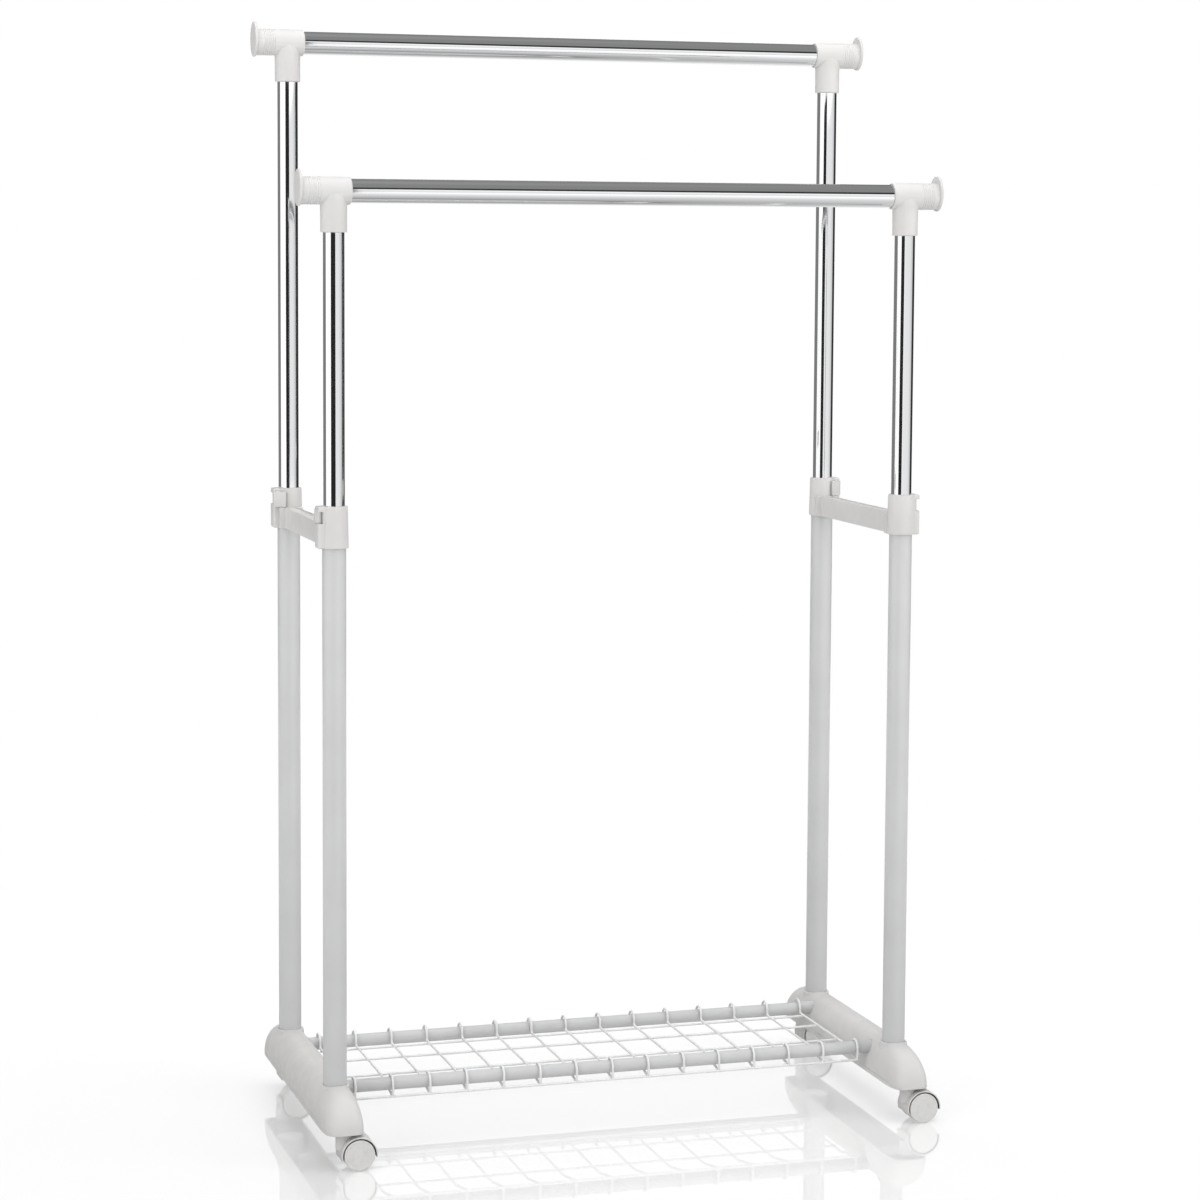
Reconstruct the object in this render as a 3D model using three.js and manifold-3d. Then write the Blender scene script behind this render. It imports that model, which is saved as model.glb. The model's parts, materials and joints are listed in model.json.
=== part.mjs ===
// Rolling clothes rack: two height-adjustable rails on telescopic uprights, two moulded feet with twin-wheel
// casters, and a coated wire shelf. Millimetres, +Z up, -Y towards the lower front rail, floor at z = 0.
import * as THREE from "three";
import { mergeVertices } from "three/addons/utils/BufferGeometryUtils.js";
import Module from "manifold-3d";

const wasm = await Module();
wasm.setup();

// ---- driving dimensions ---------------------------------------------------------------------------------
const UPRIGHT_X = 357; // upright axes, left and right of the middle
const UPRIGHT_Y = 134; // upright axes, in front of and behind the middle
const FRONT_RAIL_Z = 1143; // rail axes as set at rest
const BACK_RAIL_Z = 1328;
const GAP = 0.3; // clearance left between pieces that touch
const OVERSHOOT = 1; // how far a cutting shape runs past the face that it opens
const ROUND_SIDES = 16; // sides of the faceted tubes and bores
const PIN_SIDES = 8; // sides of the pins and axles

const LOWER_TUBE = { radius: 14, wall: 1, bottom: 53, top: 751 };
const CHROME_TUBE = { radius: 12.5, wall: 1, length: 690 };
const RAIL = { radius: 14, wall: 1, pastUpright: 34 };
const GUIDE_PLUG = { collarRadius: 12.65, collarHeight: 6, chamfer: 0.6, shankLength: 14 };

const TEE = {
  barrelRadius: 16.2,
  mouth: 19.5, // from the stem's axis to the open end of the barrel
  end: 43, // from the stem's axis to the outer face of the stop disc
  stemRadius: 15.5,
  stemTaper: 0.3, // the stem is this much wider where it meets the barrel
  stemDrop: 48, // below the rail's axis
  floor: 17, // top of the stem's bore, below the rail's axis
  stopThickness: 3,
  stopHalfWidth: 19,
  stopHalfHeight: 21.7,
  stopLift: 3.4,
  stopSegments: 8,
};

const COLLAR = {
  bottom: 727.5,
  top: 777,
  bottomRadius: 17,
  topRadius: 16,
  boreClearance: 0.4, // round the chrome tube, which slides in it
  lugRoot: 10, // the lug starts inside the sleeve's wall
  lugReach: 21,
  lugHalfWidth: 10.5,
  lugCorner: 2.5,
  slotBottom: 756.8, // the lever's slot runs right through the lug
  slotTop: 771,
  slotInnerX: 15,
  camWindow: 4.2, // half width of the opening through the sleeve, where the cam meets the chrome tube
};
const LEVER = {
  pivotX: 17,
  hubRadius: 3.4,
  noseX: 13.1, // the cam nose's face, next to the chrome tube
  noseHalfWidth: 1.6,
  armInnerX: 15.6,
  armOuterX: 20.4,
  armReach: 11.4,
  paddleBottom: 754.2,
  paddleTop: 773.2,
  paddleStart: [21.3, 11],
  paddleEnd: [7.9, 19.6],
  paddleThickness: 2.6,
};
const LEVER_PIN = { radius: 1, bottom: 749, top: 776.7 };
const CROSSBAR = { bottom: 727.5, top: 753.5, halfWidth: 8, wall: 2.2, recess: 1.4, lip: 2.4 };
const SADDLE = { halfWidth: 14.5, thickness: 7.5 }; // the wider end of a crossbar, against its collar

const FOOT = {
  skirt: 44, // height of the lower edge
  height: 46, // from the lower edge to the ridge
  halfWidth: 24.5,
  halfLength: 200,
  noseStart: 140, // where the ridge starts to fall towards a nose
  planStart: 140, // where the sides start to close round a nose
  domePower: 2.5, // superellipse powers and steps of the section, the noses and the plan
  domeSteps: 4,
  nosePower: 2.3,
  noseSteps: 4,
  planPower: 5,
  planSteps: 3,
  wall: 2.6,
  bulk: 800, // length of the prisms whose common part is the foot
};
const SOCKET = { radius: 17.5, top: 89, shoulder: 80, draft: 1.2 }; // holds an upright in the foot
const SHELF_TUBE = { radius: 8, wall: 1, y: 101.5, z: 75, inset: 6, socketRadius: 10.6 };

const CASTER = {
  y: 181, // stem axes, in front of and behind the foot's middle
  trail: 16, // wheel axis to stem axis
  halfWidth: 17,
};
const WHEEL = { radius: 18.5, sides: 16, webGap: 0.6, innerChamfer: 1.5, outerChamfer: 1.1, face: 16.6 };
const HOOD = {
  radius: 21.8,
  rimInner: 18.8,
  webRadius: 20.4,
  bayRadius: 19.4,
  baySides: 20,
  webHalfWidth: 2.3,
  hubRadius: 5,
  from: -8, // degrees round the wheel's axis
  to: 197,
  segments: 9,
  neckRadius: 9.5,
  neckBottom: 24,
  neckTop: 41.5,
};
const STEM = { radius: 4, bottom: 30.5, top: 65, sides: 12, pegRadius: 8, pegBottom: 47 };
const AXLE = { radius: 2, halfLength: 13.2 };

const SHELF = {
  wireRadius: 1.5,
  wireSides: 5,
  crossWires: 15,
  pitch: 46.1,
  centreX: -4.5,
  planeZ: 71,
  rowYs: [83, 32, -40], // lengthwise wires under the cross wires
  dipStartY: -62, // where the cross wires turn down to pass under the front tube
  dipZ: 61,
  weldDepth: 0.9, // how far two welded wires sink into each other
  clearance: 0.6, // between a hook and its tube
  hookLift: 2, // the back hooks' curve is centred this far above the back tube's axis
  bend: 3.5,
};

// ---- solids ---------------------------------------------------------------------------------------------
const AXES = {
  x: new THREE.Matrix4().makeBasis(
    new THREE.Vector3(0, 1, 0),
    new THREE.Vector3(0, 0, 1),
    new THREE.Vector3(1, 0, 0),
  ),
  y: new THREE.Matrix4().makeBasis(
    new THREE.Vector3(1, 0, 0),
    new THREE.Vector3(0, 0, 1),
    new THREE.Vector3(0, -1, 0),
  ),
  z: new THREE.Matrix4(),
};

function toSolid(geometry) {
  const bare = geometry.clone();
  bare.deleteAttribute("normal");
  bare.deleteAttribute("uv");
  const merged = mergeVertices(bare, 1e-4);
  return new wasm.Manifold(
    new wasm.Mesh({
      numProp: 3,
      vertProperties: merged.attributes.position.array,
      triVerts: new Uint32Array(merged.index.array),
    }),
  );
}

function toGeometry(solid) {
  const { vertProperties, triVerts } = solid.getMesh();
  const geometry = new THREE.BufferGeometry();
  geometry.setAttribute("position", new THREE.BufferAttribute(vertProperties, 3));
  geometry.setIndex(new THREE.BufferAttribute(triVerts, 1));
  return geometry;
}

function combine(how, first, rest) {
  return toGeometry(rest.reduce((whole, piece) => whole[how](toSolid(piece)), toSolid(first)));
}

const join = (first, ...rest) => combine("add", first, rest);
const cut = (first, ...rest) => combine("subtract", first, rest);
const overlap = (first, ...rest) => combine("intersect", first, rest);

// A turned piece: profile is a list of [radius, place along the axis].
function turned(profile, axis = "z", sides = ROUND_SIDES) {
  const points = profile.map(([radius, along]) => new THREE.Vector2(radius, along));
  const geometry = new THREE.LatheGeometry(points, sides);
  geometry.rotateX(Math.PI / 2);
  return geometry.applyMatrix4(AXES[axis]);
}

function rod(radius, from, to, axis, sides) {
  return turned([[0, from], [radius, from], [radius, to], [0, to]], axis, sides);
}

function pipe({ radius, wall }, from, to, axis) {
  const bore = radius - wall;
  return turned([[bore, from], [radius, from], [radius, to], [bore, to], [bore, from]], axis);
}

// A prism along an axis, centred on it. Its outline is given in the two other axes, in the order
// y z for x, x z for y and x y for z.
function prism(outline, depth, axis = "z", curveSegments = 1) {
  const shape = Array.isArray(outline)
    ? new THREE.Shape(outline.map(([a, b]) => new THREE.Vector2(a, b)))
    : outline;
  const geometry = new THREE.ExtrudeGeometry(shape, { depth, bevelEnabled: false, curveSegments });
  geometry.translate(0, 0, -depth / 2);
  return geometry.applyMatrix4(AXES[axis]);
}

// A box given by its two X faces, half its width in Y, and its two Z faces.
function block([fromX, toX], halfWidth, [fromZ, toZ]) {
  return prism([[fromX, fromZ], [toX, fromZ], [toX, toZ], [fromX, toZ]], 2 * halfWidth, "y");
}

// Points of a superellipse's quarter from its side (angle 0) to its top (angle a quarter turn).
function quarterPoints(width, height, power, steps) {
  return Array.from({ length: steps + 1 }, (_, step) => {
    const angle = (step / steps) * (Math.PI / 2);
    return [
      width * Math.max(Math.cos(angle), 0) ** (2 / power),
      height * Math.sin(angle) ** (2 / power),
    ];
  });
}

// ---- materials ------------------------------------------------------------------------------------------
const material = (color, roughness, metalness) =>
  new THREE.MeshStandardMaterial({ color, roughness, metalness });
const chrome = material(0xd8d9db, 0.08, 1);
const whitePaint = material(0xe6e6e6, 0.35, 0);
const mouldedPlastic = material(0xe4e2de, 0.5, 0);
const casterPlastic = material(0xe2e1de, 0.4, 0);
const wireCoating = material(0xf0f0f0, 0.4, 0);
const steel = material(0xb5b6b8, 0.3, 1);

const rack = new THREE.Group();

function addMesh(parent, name, geometry, finish, place = [0, 0, 0], turnZ = 0) {
  const mesh = new THREE.Mesh(geometry, finish);
  mesh.name = name;
  mesh.position.set(...place);
  mesh.rotation.z = turnZ;
  parent.add(mesh);
  return mesh;
}

// ---- rails and tees -------------------------------------------------------------------------------------
// Origin where the rail's axis crosses the stem's; the stop disc is on the +X side.
function teeGeometry() {
  const { barrelRadius, mouth, end, stemRadius, stemDrop, floor, stopThickness } = TEE;
  const stopMiddle = end - stopThickness / 2;
  const stopShape = new THREE.Shape();
  stopShape.absellipse(0, TEE.stopLift, TEE.stopHalfWidth, TEE.stopHalfHeight, 0, 2 * Math.PI);
  const stopDisc = prism(stopShape, stopThickness, "x", TEE.stopSegments).translate(stopMiddle, 0, 0);
  const barrel = rod(barrelRadius, -mouth, stopMiddle, "x");
  const stem = turned([[0, -stemDrop], [stemRadius, -stemDrop], [stemRadius + TEE.stemTaper, 0], [0, 0]]);
  const railBore = rod(RAIL.radius + GAP, -mouth - OVERSHOOT, RAIL.pastUpright + 2 * GAP, "x");
  const tubeBore = rod(CHROME_TUBE.radius + GAP, -stemDrop - OVERSHOOT, -floor);
  return cut(join(barrel, stopDisc, stem), railBore, tubeBore);
}

// Origin at the chrome tube's lower end, which rests on the plug's collar.
function guidePlugGeometry() {
  const { collarRadius, collarHeight, chamfer, shankLength } = GUIDE_PLUG;
  const shankRadius = CHROME_TUBE.radius - CHROME_TUBE.wall - GAP;
  return turned([
    [0, -collarHeight],
    [collarRadius - chamfer, -collarHeight],
    [collarRadius, chamfer - collarHeight],
    [collarRadius, -GAP],
    [shankRadius, -GAP],
    [shankRadius, shankLength],
    [0, shankLength],
  ]);
}

// One rail with its two tees and the two chrome uprights that slide in the lower tubes.
function addRailSet(side, y, railZ) {
  const railEnd = UPRIGHT_X + RAIL.pastUpright;
  const tubeTop = railZ - TEE.floor - GAP;
  const tubeBottom = tubeTop - CHROME_TUBE.length;
  addMesh(rack, `${side}_rail`, pipe(RAIL, -railEnd, railEnd, "x"), chrome, [0, y, railZ]);
  for (const [hand, x, turn] of [["left", -UPRIGHT_X, Math.PI], ["right", UPRIGHT_X, 0]]) {
    const corner = `${side}_${hand}`;
    addMesh(rack, `${corner}_tee`, teeGeometry(), mouldedPlastic, [x, y, railZ], turn);
    const tube = pipe(CHROME_TUBE, tubeBottom, tubeTop);
    addMesh(rack, `${corner}_chrome_upright`, tube, chrome, [x, y, 0]);
    addMesh(rack, `${corner}_guide_plug`, guidePlugGeometry(), mouldedPlastic, [x, y, tubeBottom]);
  }
}

// ---- lower tubes, height clamps and crossbars -----------------------------------------------------------
// The collar's sleeve, grown outwards by the given amount.
function sleeve(grown) {
  const { bottom, top, bottomRadius, topRadius } = COLLAR;
  return turned([[0, bottom], [bottomRadius + grown, bottom], [topRadius + grown, top], [0, top]]);
}

// Origin on the upright's axis at floor level; the lug with the lever's slot is on the +X side.
function collarGeometry() {
  const { bottom, top, lugRoot, lugReach, lugHalfWidth, lugCorner, slotBottom, slotTop } = COLLAR;
  const lugOutline = [
    [lugRoot, -lugHalfWidth],
    [lugReach - lugCorner, -lugHalfWidth],
    [lugReach, lugCorner - lugHalfWidth],
    [lugReach, lugHalfWidth - lugCorner],
    [lugReach - lugCorner, lugHalfWidth],
    [lugRoot, lugHalfWidth],
  ];
  const lug = prism(lugOutline, top - bottom).translate(0, 0, (top + bottom) / 2);
  const slotHeights = [slotBottom, slotTop];
  const slot = block([COLLAR.slotInnerX, lugReach + OVERSHOOT], lugHalfWidth + OVERSHOOT, slotHeights);
  const camWindow = block([0, COLLAR.slotInnerX + OVERSHOOT], COLLAR.camWindow, slotHeights);
  const chromeBore = rod(CHROME_TUBE.radius + COLLAR.boreClearance, bottom - OVERSHOOT, top + OVERSHOOT);
  const lowerBore = rod(LOWER_TUBE.radius + GAP, bottom - OVERSHOOT, LOWER_TUBE.top + GAP);
  const pinBore = rod(LEVER_PIN.radius + GAP, LEVER_PIN.bottom - GAP, top + OVERSHOOT, "z", PIN_SIDES);
  pinBore.translate(LEVER.pivotX, 0, 0);
  return cut(join(sleeve(0), lug), chromeBore, lowerBore, slot, camWindow, pinBore);
}

// A cam lever that turns on an upright pin: a hub with a nose that bears on the chrome tube, an arm in the
// lug's slot, and a taller finger paddle beside the sleeve. towards is 1 with the paddle on the +Y side,
// or -1 with it on the other.
function leverGeometry(towards) {
  const { pivotX, hubRadius, noseX, noseHalfWidth, armInnerX, armOuterX, armReach } = LEVER;
  const { paddleBottom, paddleTop, paddleStart, paddleEnd, paddleThickness } = LEVER;
  const bottom = COLLAR.slotBottom + GAP;
  const top = COLLAR.slotTop - GAP;
  const upright = (outline, from, to) => {
    const turnedOver = outline.map(([x, y]) => [x, towards * y]);
    return prism(turnedOver, to - from).translate(0, 0, (to + from) / 2);
  };
  const along = new THREE.Vector2(...paddleEnd).sub(new THREE.Vector2(...paddleStart)).normalize();
  const innerEnd = [paddleEnd[0] - along.y * paddleThickness, paddleEnd[1] + along.x * paddleThickness];
  const innerRun = (innerEnd[1] - paddleStart[1]) / along.y;
  const innerStart = [innerEnd[0] - along.x * innerRun, paddleStart[1]];
  const hub = rod(hubRadius, bottom, top, "z", STEM.sides).translate(pivotX, 0, 0);
  const nose = [
    [noseX, -noseHalfWidth],
    [pivotX, -hubRadius],
    [pivotX, hubRadius],
    [noseX, noseHalfWidth],
  ];
  const arm = [[armInnerX, 0], [armOuterX, 0], [armOuterX, armReach], [armInnerX, armReach]];
  const pinBore = rod(LEVER_PIN.radius + GAP, bottom - OVERSHOOT, top + OVERSHOOT, "z", PIN_SIDES);
  const body = join(
    hub,
    upright(nose, bottom, top),
    upright(arm, bottom, top),
    upright([paddleStart, paddleEnd, innerEnd, innerStart], paddleBottom, paddleTop),
  );
  return cut(body, pinBore.translate(pivotX, 0, 0));
}

function leverPinGeometry() {
  const { radius, bottom, top } = LEVER_PIN;
  return rod(radius, bottom, top, "z", PIN_SIDES).translate(LEVER.pivotX, 0, 0);
}

// A channel open below, with a shallow recess along its top, and a wider saddle at both ends, hollowed to fit
// the collars.
function crossbarGeometry() {
  const { bottom, top, halfWidth, wall, recess, lip } = CROSSBAR;
  const inner = halfWidth - wall;
  const outline = [
    [-halfWidth, bottom],
    [-inner, bottom],
    [-inner, top - recess - wall],
    [inner, top - recess - wall],
    [inner, bottom],
    [halfWidth, bottom],
    [halfWidth, top],
    [halfWidth - lip, top],
    [halfWidth - lip, top - recess],
    [lip - halfWidth, top - recess],
    [lip - halfWidth, top],
    [-halfWidth, top],
  ];
  const saddleMiddle = UPRIGHT_Y - COLLAR.lugHalfWidth - GAP - SADDLE.thickness / 2;
  const saddles = [-1, 1].map((end) =>
    block([-SADDLE.halfWidth, SADDLE.halfWidth], SADDLE.thickness / 2, [bottom, top])
      .translate(0, end * saddleMiddle, 0),
  );
  const collarSpaces = [-1, 1].map((end) => sleeve(GAP).translate(0, end * UPRIGHT_Y, 0));
  return cut(join(prism(outline, 2 * UPRIGHT_Y, "y"), ...saddles), ...collarSpaces);
}

function addClamps() {
  for (const [hand, x, turn] of [["left", -UPRIGHT_X, Math.PI], ["right", UPRIGHT_X, 0]]) {
    for (const [side, y] of [["front", -UPRIGHT_Y], ["back", UPRIGHT_Y]]) {
      const corner = `${side}_${hand}`;
      const place = [x, y, 0];
      const tube = pipe(LOWER_TUBE, LOWER_TUBE.bottom + GAP, LOWER_TUBE.top);
      addMesh(rack, `${corner}_lower_tube`, tube, whitePaint, place);
      addMesh(rack, `${corner}_collar`, collarGeometry(), mouldedPlastic, place, turn);
      const towards = side === "front" ? Math.sign(x) : -Math.sign(x); // after the turn, towards the crossbar
      addMesh(rack, `${corner}_lock_lever`, leverGeometry(towards), mouldedPlastic, place, turn);
      addMesh(rack, `${corner}_lever_pin`, leverPinGeometry(), steel, place, turn);
    }
    addMesh(rack, `${hand}_crossbar`, crossbarGeometry(), mouldedPlastic, [x, 0, 0]);
  }
}

// ---- feet -----------------------------------------------------------------------------------------------
// Leaves out each point of a closed outline that repeats the one before it.
function distinct(points) {
  return points.filter(([a, b], index) => {
    const [lastA, lastB] = points.at(index - 1);
    return Math.hypot(a - lastA, b - lastB) > 1e-6;
  });
}

// A quarter outline carried over to the other side of the second axis.
const arch = (quarter) => [...quarter, ...quarter.map(([a, b]) => [-a, b]).reverse()];

// The foot's outer form, drawn in by the given amount and carried down below the skirt: a domed section run
// along Y, rounded off at both noses by a side profile and in plan.
function footForm(inset, below) {
  const { skirt, height, halfLength, noseStart, planStart, bulk } = FOOT;
  const halfWidth = FOOT.halfWidth - inset;
  const rise = height - inset;
  const length = halfLength - inset;
  const standing = (quarter, side) => {
    const raised = arch(quarter).map(([a, b]) => [a, skirt + b]);
    return distinct([[side, skirt - below], ...raised, [-side, skirt - below]]);
  };

  const dome = quarterPoints(halfWidth, rise, FOOT.domePower, FOOT.domeSteps);
  const nose = quarterPoints(length - noseStart, rise, FOOT.nosePower, FOOT.noseSteps);
  const profile = nose.map(([y, z]) => [y + noseStart, z]);
  const corner = quarterPoints(halfWidth, length - planStart, FOOT.planPower, FOOT.planSteps);
  const backHalf = arch(corner.map(([x, y]) => [x, y + planStart]));
  const frontHalf = backHalf.map(([x, y]) => [-x, -y]);
  return overlap(
    prism(standing(dome, halfWidth), bulk, "y"),
    prism(standing(profile, length), bulk, "x"),
    prism(distinct([...backHalf, ...frontHalf]), bulk, "z"),
  );
}

// Origin at floor level in the middle of the foot; the shelf tubes enter on the +X side.
function footGeometry() {
  const { skirt, height, wall, halfWidth } = FOOT;
  const form = footForm(0, 0);
  const shell = cut(form, footForm(wall, OVERSHOOT));
  const socketBottom = LOWER_TUBE.bottom - wall;
  const inside = [];
  const sockets = [];
  const bores = [];
  for (const end of [-1, 1]) {
    const socket = turned([
      [0, socketBottom],
      [SOCKET.radius, socketBottom],
      [SOCKET.radius, SOCKET.shoulder],
      [SOCKET.radius - SOCKET.draft, SOCKET.top],
      [0, SOCKET.top],
    ]);
    const tubeBore = rod(LOWER_TUBE.radius + GAP, LOWER_TUBE.bottom, skirt + height + OVERSHOOT);
    sockets.push(socket.translate(0, end * UPRIGHT_Y, 0));
    bores.push(tubeBore.translate(0, end * UPRIGHT_Y, 0));

    const shelfSocket = rod(SHELF_TUBE.socketRadius, SHELF_TUBE.inset - wall, halfWidth, "x");
    const shelfBore = rod(SHELF_TUBE.radius + GAP, SHELF_TUBE.inset - GAP, halfWidth + OVERSHOOT, "x");
    inside.push(shelfSocket.translate(0, end * SHELF_TUBE.y, SHELF_TUBE.z));
    bores.push(shelfBore.translate(0, end * SHELF_TUBE.y, SHELF_TUBE.z));

    const peg = rod(STEM.pegRadius, STEM.pegBottom, skirt + height, "z", STEM.sides);
    const stemBore = rod(STEM.radius + GAP, skirt, STEM.top + OVERSHOOT, "z", STEM.sides);
    inside.push(peg.translate(0, end * CASTER.y, 0));
    bores.push(stemBore.translate(0, end * CASTER.y, 0));
  }
  return cut(join(shell, overlap(form, join(...inside)), ...sockets), ...bores);
}

function addFeet() {
  addMesh(rack, "left_foot", footGeometry(), mouldedPlastic, [-UPRIGHT_X, 0, 0]);
  addMesh(rack, "right_foot", footGeometry(), mouldedPlastic, [UPRIGHT_X, 0, 0], Math.PI);
}

// ---- casters --------------------------------------------------------------------------------------------
// Origin on the stem's axis at floor level; the wheels trail to +X on an axle along Y.
function hoodGeometry() {
  const { trail, halfWidth } = CASTER;
  const { radius, rimInner, webRadius, bayRadius, webHalfWidth, segments, neckTop } = HOOD;
  const from = THREE.MathUtils.degToRad(HOOD.from);
  const to = THREE.MathUtils.degToRad(HOOD.to);
  const rim = new THREE.Shape();
  rim.absarc(trail, WHEEL.radius, radius, from, to, false);
  rim.absarc(trail, WHEEL.radius, rimInner, to, from, true);
  const web = new THREE.Shape();
  web.absarc(trail, WHEEL.radius, webRadius, from, to, false);
  const hub = rod(HOOD.hubRadius, -webHalfWidth, webHalfWidth, "y").translate(trail, 0, WHEEL.radius);
  const body = join(
    prism(rim, 2 * halfWidth, "y", segments),
    prism(web, 2 * webHalfWidth, "y", segments),
    rod(HOOD.neckRadius, HOOD.neckBottom, neckTop),
    hub,
  );
  const bays = [0, Math.PI].map((turn) => {
    const bay = rod(bayRadius, webHalfWidth, halfWidth + OVERSHOOT, "y", HOOD.baySides);
    return bay.rotateZ(turn).translate(trail, 0, WHEEL.radius);
  });
  const stemBore = rod(STEM.radius + GAP, STEM.bottom - GAP, neckTop + OVERSHOOT, "z", STEM.sides);
  const axleBore = rod(AXLE.radius + GAP, -halfWidth, halfWidth, "y", PIN_SIDES);
  return cut(body, ...bays, stemBore, axleBore.translate(trail, 0, WHEEL.radius));
}

// A wheel on one side of the hood's web, closed over the axle's end.
function wheelGeometry() {
  const { radius, sides, webGap, innerChamfer, outerChamfer, face } = WHEEL;
  const inner = HOOD.webHalfWidth + webGap;
  const bore = AXLE.radius + GAP;
  const profile = [
    [0, AXLE.halfLength + GAP],
    [bore, AXLE.halfLength + GAP],
    [bore, inner],
    [radius - innerChamfer, inner],
    [radius, inner + innerChamfer],
    [radius, face - outerChamfer],
    [radius - outerChamfer, face],
    [0, face],
  ];
  return turned(profile, "y", sides);
}

function addCasters() {
  for (const [hand, x] of [["left", -UPRIGHT_X], ["right", UPRIGHT_X]]) {
    for (const [side, y] of [["front", -CASTER.y], ["back", CASTER.y]]) {
      const caster = new THREE.Group();
      const name = `${side}_${hand}_caster`;
      caster.position.set(x, y, 0);
      rack.add(caster);
      const stem = rod(STEM.radius, STEM.bottom, STEM.top, "z", STEM.sides);
      const axle = rod(AXLE.radius, -AXLE.halfLength, AXLE.halfLength, "y", PIN_SIDES);
      const axlePlace = [CASTER.trail, 0, WHEEL.radius];
      addMesh(caster, `${name}_hood`, hoodGeometry(), casterPlastic);
      addMesh(caster, `${name}_stem`, stem, steel);
      addMesh(caster, `${name}_axle`, axle, steel, axlePlace);
      addMesh(caster, `${name}_front_wheel`, wheelGeometry(), casterPlastic, axlePlace);
      addMesh(caster, `${name}_back_wheel`, wheelGeometry(), casterPlastic, axlePlace, Math.PI);
    }
  }
}

// ---- shelf ----------------------------------------------------------------------------------------------
// A path with one step at every corner, however far apart the corners are.
class CornerPath extends THREE.Curve {
  constructor(points) {
    super();
    this.points = points;
  }

  getPoint(t, target = new THREE.Vector3()) {
    const last = this.points.length - 2;
    const place = t * (last + 1);
    const index = Math.min(Math.floor(place), last);
    return target.lerpVectors(this.points[index], this.points[index + 1], place - index);
  }

  getUtoTmapping(u) {
    return u;
  }
}

function wire(points) {
  const { wireRadius, wireSides } = SHELF;
  const section = new THREE.Shape(
    Array.from({ length: wireSides }, (_, side) => {
      const angle = ((side + 0.5) / wireSides) * 2 * Math.PI;
      return new THREE.Vector2(wireRadius * Math.cos(angle), wireRadius * Math.sin(angle));
    }),
  );
  const extrudePath = new CornerPath(points);
  return new THREE.ExtrudeGeometry(section, { steps: points.length - 1, bevelEnabled: false, extrudePath });
}

// Points [y, z] round a centre, from one angle to another in degrees.
function arcPoints([centreY, centreZ], radius, from, to, steps) {
  return Array.from({ length: steps + 1 }, (_, step) => {
    const angle = THREE.MathUtils.degToRad(from + ((to - from) * step) / steps);
    return [centreY + radius * Math.cos(angle), centreZ + radius * Math.sin(angle)];
  });
}

// Radius of the hooks' curves round the shelf tubes, at the wire's middle.
const HOOK_REACH = SHELF_TUBE.radius + SHELF.wireRadius + SHELF.clearance;

// One cross wire from its hook behind the back tube to its hook over the front tube.
function crossWirePath(x) {
  const { planeZ, dipStartY, dipZ, hookLift, bend } = SHELF;
  const { y, z } = SHELF_TUBE;
  const backBend = [y - HOOK_REACH - bend, planeZ + bend];
  const frontBend = [bend - y - HOOK_REACH, dipZ + bend];
  const path = [
    ...arcPoints([y, z + hookLift], HOOK_REACH, -5, 180, 4),
    ...arcPoints(backBend, bend, 0, -90, 1),
    [dipStartY, planeZ],
    ...arcPoints(frontBend, bend, 270, 180, 1),
    ...arcPoints([-y, z], HOOK_REACH, 180, 50, 4),
  ];
  return path.map(([py, pz]) => new THREE.Vector3(x, py, pz));
}

function wireShelfGeometry() {
  const { crossWires, pitch, centreX, planeZ, rowYs, dipZ, wireRadius, weldDepth, bend } = SHELF;
  const halfSpan = ((crossWires - 1) / 2) * pitch;
  const weld = 2 * wireRadius - weldDepth;
  const cornerMiddle = bend / 2; // the bend's chord crosses its corner here, in Y and in Z
  const inwards = weld * Math.SQRT1_2;
  const hem = [cornerMiddle - SHELF_TUBE.y - HOOK_REACH - inwards, dipZ + cornerMiddle - inwards];
  const rows = [...rowYs.map((y) => [y, planeZ - weld]), hem];
  const lengthwise = rows.map(([y, z]) =>
    wire([-1, 1].map((end) => new THREE.Vector3(centreX + end * (halfSpan + wireRadius), y, z))),
  );
  const crossing = Array.from({ length: crossWires }, (_, index) =>
    wire(crossWirePath(centreX - halfSpan + index * pitch)),
  );
  return join(...lengthwise, ...crossing);
}

function addShelf() {
  const tubeEnd = UPRIGHT_X - SHELF_TUBE.inset;
  for (const [side, y] of [["front", -SHELF_TUBE.y], ["back", SHELF_TUBE.y]]) {
    const tube = pipe(SHELF_TUBE, -tubeEnd, tubeEnd, "x");
    addMesh(rack, `${side}_shelf_tube`, tube, whitePaint, [0, y, SHELF_TUBE.z]);
  }
  addMesh(rack, "wire_shelf", wireShelfGeometry(), wireCoating);
}

addRailSet("front", -UPRIGHT_Y, FRONT_RAIL_Z);
addRailSet("back", UPRIGHT_Y, BACK_RAIL_Z);
addClamps();
addFeet();
addCasters();
addShelf();

export default rack;
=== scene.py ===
"""The rolling clothes rack's looks: smooth meshes in place of the faceted frame, finishes, light and camera.

Shapes are written in millimetres, each in its own piece's coordinates, and placed from the frame's boxes.
"""

import json
import math

import bmesh
import bpy
from mathutils import Matrix, Vector

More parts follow.
